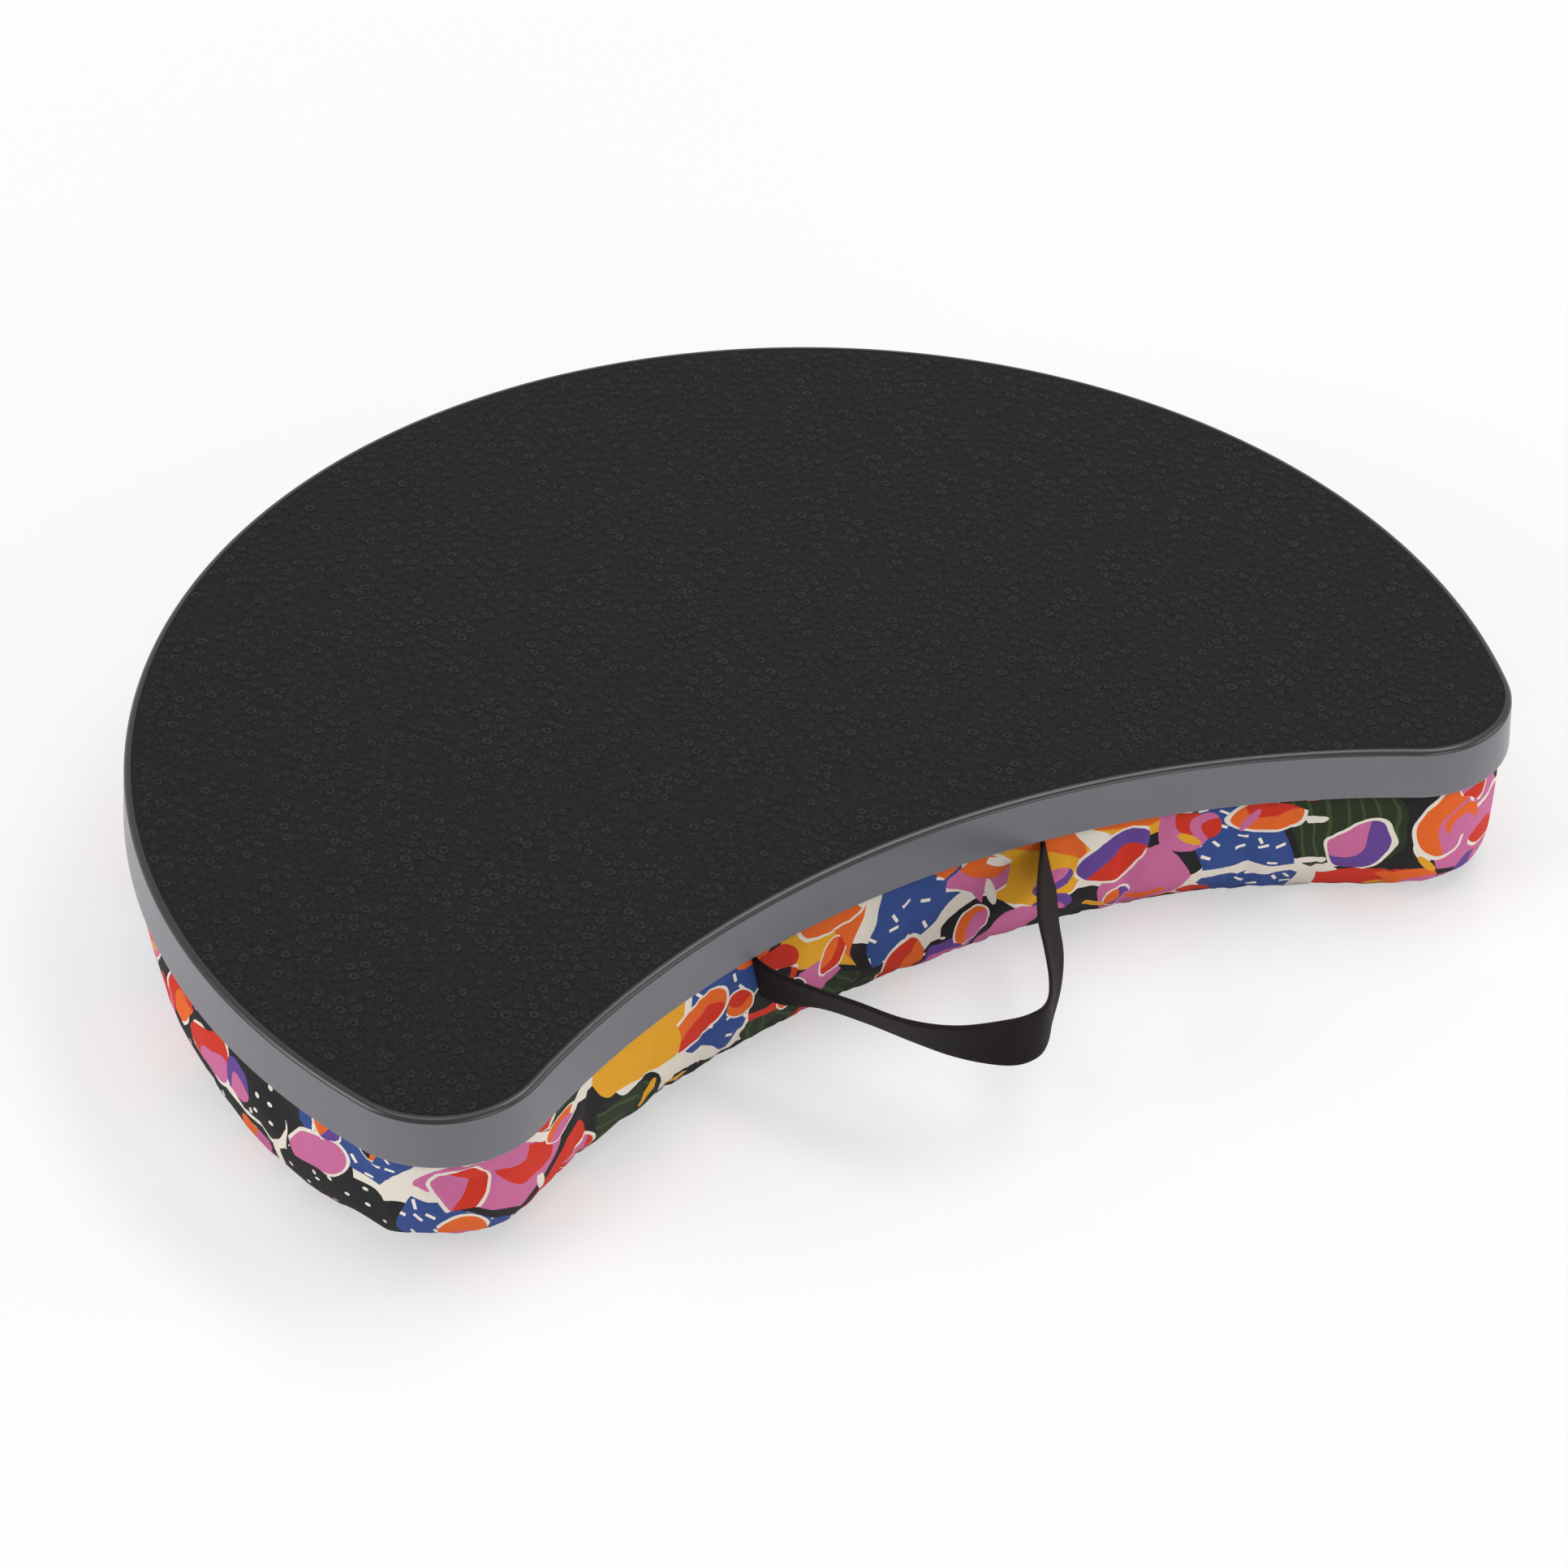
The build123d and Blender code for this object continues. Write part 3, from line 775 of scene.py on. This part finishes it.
def make_cushion(settings):
    """The cover's side band with its hem, the bottom panel, and the beads inside."""
    cushion = settings.laptray_cushion
    outline = Outline(settings.laptray_outline)
    rows = cushion_rows(cushion, outline)
    rows = gathers(bead_swell(rows, outline, cushion.slack, cushion.swell), outline, cushion.pucker)
    rows[:, :, 2] = np.maximum(rows[:, :, 2], 0.0)
    seam = next(i for i, row in enumerate(rows) if row[:, 2].mean() <= cushion.seam_height)

    hem_top = panel_high.z + cushion.fabric
    # the hem's fold over the panel: how far in from the tuck, and at what height
    fold = (
        (cushion.hem_width, hem_top), (1.2 * MM, hem_top), (0.3 * MM, hem_top - 0.4 * MM),
        (0.0, hem_top - 1.4 * MM), (0.0, panel_low.z + 0.9 * MM),
    )
    hem = [outline.row(cushion.tuck + inset, height) for inset, height in fold]
    groove_depth, groove_rise = 1.1 * MM, 0.5 * MM
    groove = rows[seam].copy()
    groove[:, :2] -= outline.out * groove_depth
    groove[:, 2] += groove_rise
    side = np.array(hem + list(rows[:seam]) + [rows[seam], groove])
    print_cloth = printed_cotton(cushion)
    boxing = merged(sheet_mesh("cover_side_band", side, print_cloth, outline))
    thick(boxing, cushion.fabric)

    lip_inset, lip_top, lip_bottom = 0.9 * MM, 0.45 * MM, 0.05 * MM
    lip = rows[seam].copy()
    lip[:, :2] -= outline.out * lip_inset
    floor_rows = [lip + (0, 0, lip_top), lip - (0, 0, lip_bottom)] + list(rows[seam + 1 :])
    for share in np.linspace(0.0, 1.0, 13)[1:]:
        floor_rows.append(outline.inward(cushion.flat_inset, 0.0, share))
    floor_rows = np.array(floor_rows)
    floor_rows[:, :, 2] = np.maximum(floor_rows[:, :, 2], 0.0)
    bottom_pitch = 0.9 * MM
    bottom_cloth = plain_cloth("bottom cloth", cushion.bottom, bottom_pitch)
    bottom = merged(sheet_mesh("cover_bottom_panel", floor_rows, bottom_cloth, outline))
    plan_map(bottom)
    thick(bottom, cushion.fabric)

    gap, core_low, core_high, shoulder = 2.0 * MM, 1.6 * MM, panel_low.z - 0.3 * MM, panel_low.z - 0.8 * MM
    core_rows = [outline.inward(cushion.tuck + gap, core_high, share) for share in (1.0, 0.6, 0.25, 0.0)]
    for row in rows[1:]:
        inner = row.copy()
        inner[:, :2] -= outline.out * gap
        inner[:, 2] = np.clip(inner[:, 2] + core_low, core_low, shoulder)
        core_rows.append(inner)
    for share in (0.4, 0.75, 1.0):
        core_rows.append(outline.inward(cushion.flat_inset + gap, core_low, share))
    core = merged(sheet_mesh("bead_core", core_rows, bead_foam(), outline))

    for piece, nodes, slot, fill in (
        (boxing, ("cover_boxing",), "printed_fabric", 0.9),
        (bottom, ("cover_bottom",), "bottom_fabric", 0.9),
        (core, ("bead_bag", "bead_bag_top", "bead_filling"), "beads", 0.9),
    ):
        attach(piece, "tray")
        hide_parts(*nodes)
    return outline, rows, seam


def make_deck(settings):
    """The deck's finish, and its outer face again, finely divided, from the sheet's edge over the rim to under it."""
    deck = settings.laptray_deck
    plastic = moulded_plastic(deck)
    give(frame["nodes"]["deck_shell"], plastic)
    outline = Outline(settings.laptray_outline, 264, 36)
    low, high = deck_low.z, deck_high.z
    lean = atan2(deck.draft, high - low)
    rim, edge = deck.rim_radius, deck.lower_radius
    sheet_clearance, land, wall = 0.1 * MM, 0.8 * MM, 0.4 * MM
    pocket = settings.laptray_outline.back_radius - sheet_high.x - sheet_clearance - deck.skin / 2
    rim_inset = rim / cos(lean) + deck.draft * (high - rim - low) / (high - low)
    edge_inset = edge / cos(lean) + deck.draft * edge / (high - low)
    # each point of the profile: its inset, its height and the angle that its face points at
    profile = [(pocket, high - land, pi), (pocket, high, 0.75 * pi)]
    profile += [(rim_inset - rim * cos(a), high - rim + rim * sin(a), a) for a in np.linspace(pi / 2, lean, 12)]
    profile += [(deck.draft * share, low + (high - low) * share, lean) for share in (0.7, 0.5, 0.3)]
    profile += [(edge_inset - edge * cos(a), low + edge + edge * sin(a), a) for a in np.linspace(lean, -pi / 2, 8)]
    profile.append((edge_inset + land, low, -pi / 2))
    rows = [
        outline.row(np.full(outline.count, inset - deck.skin * cos(a)), height + deck.skin * sin(a))
        for inset, height, a in profile
    ]
    face = merged(sheet_mesh("deck_outer_face", rows, plastic, outline))
    thick(face, wall)
    face.data.set_sharp_from_angle(angle=radians(35))
    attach(face, "tray")


def new_tree(name, sizes):
    """A geometry node tree with named sizes; its group input and output are returned with it."""
    tree = bpy.data.node_groups.new(name, "GeometryNodeTree")
    tree.interface.new_socket("Geometry", in_out="INPUT", socket_type="NodeSocketGeometry")
    for label, kind in sizes:
        tree.interface.new_socket(label, in_out="INPUT", socket_type=kind)
    tree.interface.new_socket("Geometry", in_out="OUTPUT", socket_type="NodeSocketGeometry")
    return tree, tree.nodes.new("NodeGroupInput"), tree.nodes.new("NodeGroupOutput")


def geometry_node(tree, kind, settings=None, **inputs):
    """One geometry node, with its settings, then its values or links by name."""
    node = tree.nodes.new(kind)
    for key, value in (settings or {}).items():
        setattr(node, key, value)
    for key, value in inputs.items():
        socket = node.inputs[key.replace("_", " ")]
        if isinstance(value, bpy.types.NodeSocket):
            tree.links.new(value, socket)
        else:
            socket.default_value = value
    return node


def combined(tree, start, x, y, z):
    """A vector of three of the tree's named inputs."""
    node = geometry_node(
        tree, "ShaderNodeCombineXYZ", None, X=start.outputs[x], Y=start.outputs[y], Z=start.outputs[z],
    )
    return node.outputs["Vector"]


def close_tree(tree, end, copies, material):
    """Ends a tree: its copies made real, smooth and given their material."""
    real = geometry_node(tree, "GeometryNodeRealizeInstances", None, Geometry=copies.outputs["Instances"])
    smooth = geometry_node(tree, "GeometryNodeSetShadeSmooth", None, Geometry=real.outputs["Geometry"])
    coloured = geometry_node(
        tree, "GeometryNodeSetMaterial", None, Geometry=smooth.outputs["Geometry"], Material=material,
    )
    tree.links.new(coloured.outputs["Geometry"], end.inputs["Geometry"])
    return tree


def with_nodes(obj, tree, values):
    """Runs a geometry node tree on an object, sets its named inputs, and keeps the plain mesh."""
    modifier = obj.modifiers.new(tree.name, "NODES")
    modifier.node_group = tree
    for item in tree.interface.items_tree:
        if item.in_out == "INPUT" and item.name in values:
            modifier[item.identifier] = values[item.name]
    return applied(obj)


def pebble():
    """One pebble of the grain: an uneven soft rim round a shallow pit, one unit wide and one tall."""
    sides = 8
    rings = ((0.5, -0.25), (0.33, 1.0))
    uneven = (1.04, 0.90, 1.08, 0.97, 0.86, 1.05, 0.95, 1.12)
    points = [
        (radius * share * cos(2 * pi * k / sides), radius * share * sin(2 * pi * k / sides), height)
        for radius, height in rings for k, share in enumerate(uneven)
    ]
    points.append((0, 0, 0.05))
    faces = [
        (r * sides + k, r * sides + (k + 1) % sides, (r + 1) * sides + (k + 1) % sides, (r + 1) * sides + k)
        for r in range(len(rings) - 1) for k in range(sides)
    ]
    inner = (len(rings) - 1) * sides
    faces += [(inner + k, inner + (k + 1) % sides, inner + sides) for k in range(sides)]
    return new_object("pebble", points, faces, None)


def scatter_tree(material):
    """Scatters an object over a surface, turned and sized at random."""
    sizes = (
        ("Pebble", "NodeSocketObject"), ("Spacing", "NodeSocketFloat"), ("Width", "NodeSocketFloat"),
        ("Rise", "NodeSocketFloat"), ("Seed", "NodeSocketInt"),
    )
    tree, start, end = new_tree("pebble grain", sizes)
    densest = 900000.0
    points = geometry_node(
        tree, "GeometryNodeDistributePointsOnFaces", {"distribute_method": "POISSON"},
        Mesh=start.outputs["Geometry"], Distance_Min=start.outputs["Spacing"], Density_Max=densest,
        Seed=start.outputs["Seed"],
    )
    info = geometry_node(tree, "GeometryNodeObjectInfo", None, Object=start.outputs["Pebble"])
    random = {"data_type": "FLOAT_VECTOR"}
    turn = geometry_node(tree, "FunctionNodeRandomValue", random, Seed=start.outputs["Seed"])
    turn.inputs["Max"].default_value = (0.0, 0.0, 2 * pi)
    wide = geometry_node(tree, "FunctionNodeRandomValue", random, Seed=start.outputs["Seed"])
    wide.inputs["Min"].default_value = (0.74, 0.64, 0.55)
    wide.inputs["Max"].default_value = (1.34, 1.18, 1.15)
    scale = tree.nodes.new("ShaderNodeVectorMath")
    scale.operation = "MULTIPLY"
    tree.links.new(wide.outputs["Value"], scale.inputs[0])
    tree.links.new(combined(tree, start, "Width", "Width", "Rise"), scale.inputs[1])
    copies = geometry_node(
        tree, "GeometryNodeInstanceOnPoints", None, Points=points.outputs["Points"],
        Instance=info.outputs["Geometry"], Rotation=turn.outputs["Value"], Scale=scale.outputs["Vector"],
    )
    return close_tree(tree, end, copies, material)


def make_grip(settings):
    """The sheet's finish, and the pebble grain that stands on it."""
    deck = settings.laptray_deck
    rubber = pebbled_rubber(deck.sheet, deck.pebble_rise)
    give(frame["nodes"]["grip_sheet"], rubber)
    outline = Outline(settings.laptray_outline)
    clearance = 0.1 * MM
    edge = deck_high.x - sheet_high.x + 0.5 * deck.pebble_width + clearance
    rows = [outline.inward(edge, sheet_high.z, share) for share in np.linspace(0.0, 1.0, 6)]
    grain = merged(sheet_mesh("pebble_grain", rows, rubber, outline))
    if grain.data.polygons[0].normal.z < 0:
        grain.data.flip_normals()
    mould = pebble()
    values = {
        "Pebble": mould, "Spacing": deck.pebble_gap, "Width": deck.pebble_width,
        "Rise": deck.pebble_rise, "Seed": deck.pebble_seed,
    }
    with_nodes(grain, scatter_tree(rubber), values)
    bpy.data.objects.remove(mould)
    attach(grain, "tray")


def stitch_tree(material):
    """Sets short stitches along a closed curve."""
    sizes = (("Pitch", "NodeSocketFloat"), ("Length", "NodeSocketFloat"), ("Thread", "NodeSocketFloat"))
    tree, start, end = new_tree("stitches", sizes)
    curve = geometry_node(tree, "GeometryNodeMeshToCurve", None, Mesh=start.outputs["Geometry"])
    points = geometry_node(
        tree, "GeometryNodeCurveToPoints", {"mode": "LENGTH"},
        Curve=curve.outputs["Curve"], Length=start.outputs["Pitch"],
    )
    bead = geometry_node(tree, "GeometryNodeMeshUVSphere", None, Segments=6, Rings=5, Radius=0.5)
    size = combined(tree, start, "Thread", "Thread", "Length")
    copies = geometry_node(
        tree, "GeometryNodeInstanceOnPoints", None, Points=points.outputs["Points"],
        Instance=bead.outputs["Mesh"], Rotation=points.outputs["Rotation"], Scale=size,
    )
    return close_tree(tree, end, copies, material)


def stitches(name, points, pitch, stitch, thread, material):
    """A row of stitches along a closed line of points."""
    mesh = bpy.data.meshes.new(name)
    edges = [(i, (i + 1) % len(points)) for i in range(len(points))]
    mesh.from_pydata([tuple(p) for p in points], edges, [])
    obj = bpy.data.objects.new(name, mesh)
    bpy.context.collection.objects.link(obj)
    return with_nodes(obj, stitch_tree(material), {"Pitch": pitch, "Length": stitch, "Thread": thread})


def smooth_line(points, step):
    """A curve through points, as evenly spaced places."""
    points = np.array(points)
    padded = np.vstack([2 * points[0] - points[1], points, 2 * points[-1] - points[-2]])
    fine = []
    for a, b, c, d in zip(padded, padded[1:], padded[2:], padded[3:]):
        for t in np.linspace(0, 1, 24, endpoint=False):
            bend, twist = 2 * a - 5 * b + 4 * c - d, 3 * b - a - 3 * c + d
            fine.append(0.5 * (2 * b + (c - a) * t + bend * t**2 + twist * t**3))
    fine = np.array(fine + [points[-1]])
    run = running(fine[:, :3])
    places = np.linspace(0.0, run[-1], max(2, int(run[-1] / step)))
    return np.column_stack([np.interp(places, run, fine[:, k]) for k in range(fine.shape[1])]), places


def make_strap(settings):
    """The webbing: one length from its left sewn end round the loop to its right sewn end."""
    strap = settings.laptray_strap
    middle = (loop_low.z + loop_high.z) / 2
    # along the webbing: place in plan and height over its middle in mm, and its lean in degrees
    path = [
        (-70.8, -69.0, 0.0, 11), (-70.2, -74.0, 0.0, 12), (-67.2, -80.2, 0.2, 17), (-59.8, -91.0, 1.4, 30),
        (-50.2, -106.0, 1.7, 31), (-40.1, -121.5, 1.0, 29), (-28.2, -133.3, 0.1, 17), (-12.7, -141.5, -0.8, -4),
        (-3.1, -142.8, -1.1, -7), (4.6, -139.6, -0.8, -1), (11.8, -131.2, -0.1, -3), (21.3, -117.7, 0.4, -17.5),
        (30.4, -102.6, 0.2, -28), (39.4, -87.1, 0.0, -24), (48.8, -72.8, 0.0, -18), (53.0, -65.5, 0.0, -12),
    ]
    points = [(x * MM, y * MM, middle + z * MM, radians(lean)) for x, y, z, lean in path]
    step = 1.5 * MM
    line, places = smooth_line(points, step)
    centre, angles = line[:, :3], line[:, 3]
    tangent = np.gradient(centre, axis=0)
    tangent /= np.linalg.norm(tangent, axis=1, keepdims=True)
    side = np.cross(tangent, (0, 0, 1.0))
    side /= np.linalg.norm(side, axis=1, keepdims=True)
    up = np.cross(side, tangent)
    wide = up * np.cos(angles)[:, None] + side * np.sin(angles)[:, None]
    face = np.cross(tangent, wide)
    half, thin = strap.width / 2, strap.thickness / 2
    bevel = 0.35 * strap.thickness
    section = [(-half + bevel, -thin), (half - bevel, -thin), (half, -thin + bevel), (half, thin - bevel)]
    section += [(-w, -t) for w, t in section]
    ring = []
    for (w0, t0), (w1, t1) in zip(section, section[1:] + section[:1]):
        pieces = 10 if abs(w1 - w0) > half else 1
        ring += [(w0 + (w1 - w0) * k / pieces, t0 + (t1 - t0) * k / pieces) for k in range(pieces)]
    ring = np.array(ring)
    across = running(np.vstack([ring, ring[:1]]))
    vertices = (centre[:, None] + ring[None, :, :1] * wide[:, None] + ring[None, :, 1:] * face[:, None]).reshape(-1, 3)
    count = len(ring)
    faces = ring_faces(len(centre), count) + end_faces(len(centre), count)
    band = new_object("carry_strap", vertices, faces, webbing_weave(strap.webbing))
    cloth_map(band, [
        place for low, high in zip(places, places[1:]) for left, right in zip(across, across[1:])
        for place in ((low, left), (high, left), (high, right), (low, right))
    ] + [(0.0, 0.0)] * (2 * count))
    merged(band)
    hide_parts("carry_loop", "strap_root_left", "strap_root_right")
    hinge = next(joint for joint in frame["joints"] if joint["name"] == "strap_swing")
    hinge_y = hinge["pos_m"][1]
    hinge_y + 12 * MM
    hinge_y - 12 * MM
    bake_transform(band)


class LAPTRAY_OT_deck(bpy.types.Operator):
    """Finish the moulded deck"""

    bl_idname = "laptray.deck"
    bl_label = "Deck"

    def execute(self, context):
        make_deck(context.scene)
        return {"FINISHED"}


class LAPTRAY_OT_grip(bpy.types.Operator):
    """Finish the sheet in the deck's top and raise its pebble grain"""

    bl_idname = "laptray.grip"
    bl_label = "Pebbled sheet"

    def execute(self, context):
        make_grip(context.scene)
        return {"FINISHED"}


class LAPTRAY_OT_cushion(bpy.types.Operator):
    """Make the cushion: its cover, its bottom panel, its beads and the thread of its seam"""

    bl_idname = "laptray.cushion"
    bl_label = "Cushion"

    def execute(self, context):
        outline, rows, seam = make_cushion(context.scene)
        inset, drop, lowest = 1.2 * MM, 0.1 * MM, 0.4 * MM
        pitch, stitch, thread = 3.4 * MM, 2.6 * MM, 0.5 * MM
        line = rows[seam].copy()
        line[:, :2] -= outline.out * inset
        line[:, 2] = np.maximum(line[:, 2] - drop, lowest)
        thread_finish = stitch_thread("seam thread", (0.02, 0.02, 0.022))
        seam_row = stitches("bottom_seam_stitches", line, pitch, stitch, thread, thread_finish)
        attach(seam_row, "tray")
        return {"FINISHED"}


class LAPTRAY_OT_strap(bpy.types.Operator):
    """Make the carry loop's webbing"""

    bl_idname = "laptray.strap"
    bl_label = "Carry loop"

    def execute(self, context):
        make_strap(context.scene)
        return {"FINISHED"}


class LAPTRAY_OT_fixings(bpy.types.Operator):
    """Finish the panel, its screws and the hem's staples"""

    bl_idname = "laptray.fixings"
    bl_label = "Panel and fixings"

    def execute(self, context):
        give(frame["nodes"]["base_panel"], hardboard())
        give(frame["nodes"]["panel_screws"], zinc_steel("screw steel", (0.62, 0.60, 0.52)))
        give(frame["nodes"]["cover_staples"], zinc_steel("staple wire", (0.66, 0.66, 0.68)))
        return {"FINISHED"}


def area_light(name, place, aim, size, power):
    """A soft lamp, wide and tall as given, that looks at a point."""
    lamp = bpy.data.lights.new(name, "AREA")
    lamp.energy = power
    lamp.shape = "RECTANGLE"
    lamp.size, lamp.size_y = size
    obj = bpy.data.objects.new(name, lamp)
    obj.location = place
    obj.rotation_euler = (Vector(aim) - Vector(place)).to_track_quat("-Z", "Y").to_euler()
    bpy.context.collection.objects.link(obj)


class LAPTRAY_OT_stage(bpy.types.Operator):
    """Set the floor, the lights and the camera"""

    bl_idname = "laptray.stage"
    bl_label = "Stage"

    def execute(self, context):
        scene = context.scene
        stage = scene.laptray_stage
        scene.view_settings.view_transform = "Standard"

        half = 6.0
        floor_finish = Finish("studio floor", Roughness=0.9)
        cloud = floor_finish.noise(floor_finish.place(), 0.9, 2.0, 0.5)
        tone = floor_finish.mix(cloud, shade(stage.floor, 0.995), shade(stage.floor, 1.005))
        floor_finish.finish(tone)
        far = floor_finish.node("VectorMath", {"operation": "LENGTH"}, floor_finish.place(), output="Value")
        near, width = 0.36, 0.6
        share = ((far - near) / width).limited() * 0.5 + 0.5
        seen = floor_finish.node("LightPath", output="Is Camera Ray") * share
        glow = floor_finish.node("Emission", None, (1.0, 1.0, 1.0, 1.0), 1.0)
        shader = Wire(floor_finish.tree, floor_finish.shader.outputs[0])
        both = floor_finish.node("MixShader", None, seen, shader, glow)
        floor_finish.tree.links.new(both.socket, floor_finish.tree.nodes["Material Output"].inputs["Surface"])
        corners = [(-half, -half, 0), (half, -half, 0), (half, half, 0), (-half, half, 0)]
        floor = new_object("studio_floor", corners, [(0, 1, 2, 3)], floor_finish.material, smooth=False)

        world = bpy.data.worlds.new("studio")
        scene.world = world
        world.use_nodes = True
        tree = world.node_tree
        sky = tree.nodes["Background"]
        rays = tree.nodes.new("ShaderNodeLightPath")
        seen = Wire(tree, rays.outputs["Is Camera Ray"])
        seen = seen + Wire(tree, rays.outputs["Is Glossy Ray"]) + Wire(tree, rays.outputs["Is Transmission Ray"])
        strength = seen.limited() * 0.65 + 0.35
        tree.links.new(strength.socket, sky.inputs["Strength"])
        sky.inputs["Color"].default_value = (1.0, 1.0, 1.0, 1.0)

        aim = (0.0, 0.05, 0.05)
        for name, place, size, power in (
            ("overhead", (-0.3, 0.2, 2.2), (1.2, 1.2), 11.5),
            ("rim", (0.9, 0.1, 1.9), (1.4, 0.5), 13.0),
            ("left", (-2.1, 0.45, 0.9), (1.2, 1.2), 21.0),
            ("right", (1.9, -1.1, 0.8), (1.2, 1.2), 9.0),
            ("front", (0.35, -1.95, 0.75), (1.0, 0.6), 7.0),
        ):
            area_light(name, place, aim, size, power)

        back = Vector((
            sin(stage.azimuth) * cos(stage.elevation), -cos(stage.azimuth) * cos(stage.elevation), sin(stage.elevation),
        ))
        level = Vector((cos(stage.azimuth), sin(stage.azimuth), 0.0))
        rise = back.cross(level)
        right = level * cos(stage.roll) + rise * sin(stage.roll)
        up = rise * cos(stage.roll) - level * sin(stage.roll)
        middle = Vector((0.0, 0.14035, deck_high.z))
        across, above = -0.05467, 0.09523
        place = middle + back * stage.distance - right * across - up * above
        camera = bpy.data.objects.new("camera", bpy.data.cameras.new("camera"))
        camera.data.lens = stage.lens
        camera.data.sensor_width = 36.0
        camera.data.clip_end = 30.0
        camera.matrix_world = Matrix.Translation(place) @ Matrix((right, up, back)).transposed().to_4x4()
        context.collection.objects.link(camera)
        scene.camera = camera
        return {"FINISHED"}


GROUPS = {
    "laptray_outline": LapTrayOutline,
    "laptray_deck": LapTrayDeck,
    "laptray_cushion": LapTrayCushion,
    "laptray_strap": LapTrayStrap,
    "laptray_stage": LapTrayStage,
}
OPERATORS = (
    LAPTRAY_OT_stage, LAPTRAY_OT_deck, LAPTRAY_OT_grip, LAPTRAY_OT_fixings, LAPTRAY_OT_cushion, LAPTRAY_OT_strap,
)


class LAPTRAY_PT_panel(bpy.types.Panel):
    """The lap tray's sizes, colours and pieces"""

    bl_label = "Lap Tray"
    bl_idname = "LAPTRAY_PT_panel"
    bl_space_type = "VIEW_3D"
    bl_region_type = "UI"
    bl_category = "Lap Tray"

    def draw(self, context):
        for name, group in GROUPS.items():
            box = self.layout.box()
            for prop in group.__annotations__:
                box.prop(getattr(context.scene, name), prop)
        for operator in OPERATORS:
            self.layout.operator(operator.bl_idname)


def register():
    for group in (*GROUPS.values(), *OPERATORS, LAPTRAY_PT_panel):
        bpy.utils.register_class(group)
    for name, group in GROUPS.items():
        setattr(bpy.types.Scene, name, PointerProperty(type=group))


def unregister():
    for name in GROUPS:
        delattr(bpy.types.Scene, name)
    for group in reversed((*GROUPS.values(), *OPERATORS, LAPTRAY_PT_panel)):
        bpy.utils.unregister_class(group)


def main():
    """Registers the add-on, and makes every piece."""
    register()
    bpy.ops.laptray.stage()
    bpy.ops.laptray.deck()
    bpy.ops.laptray.grip()
    bpy.ops.laptray.fixings()
    bpy.ops.laptray.cushion()
    bpy.ops.laptray.strap()


if __name__ == "__main__":
    main()
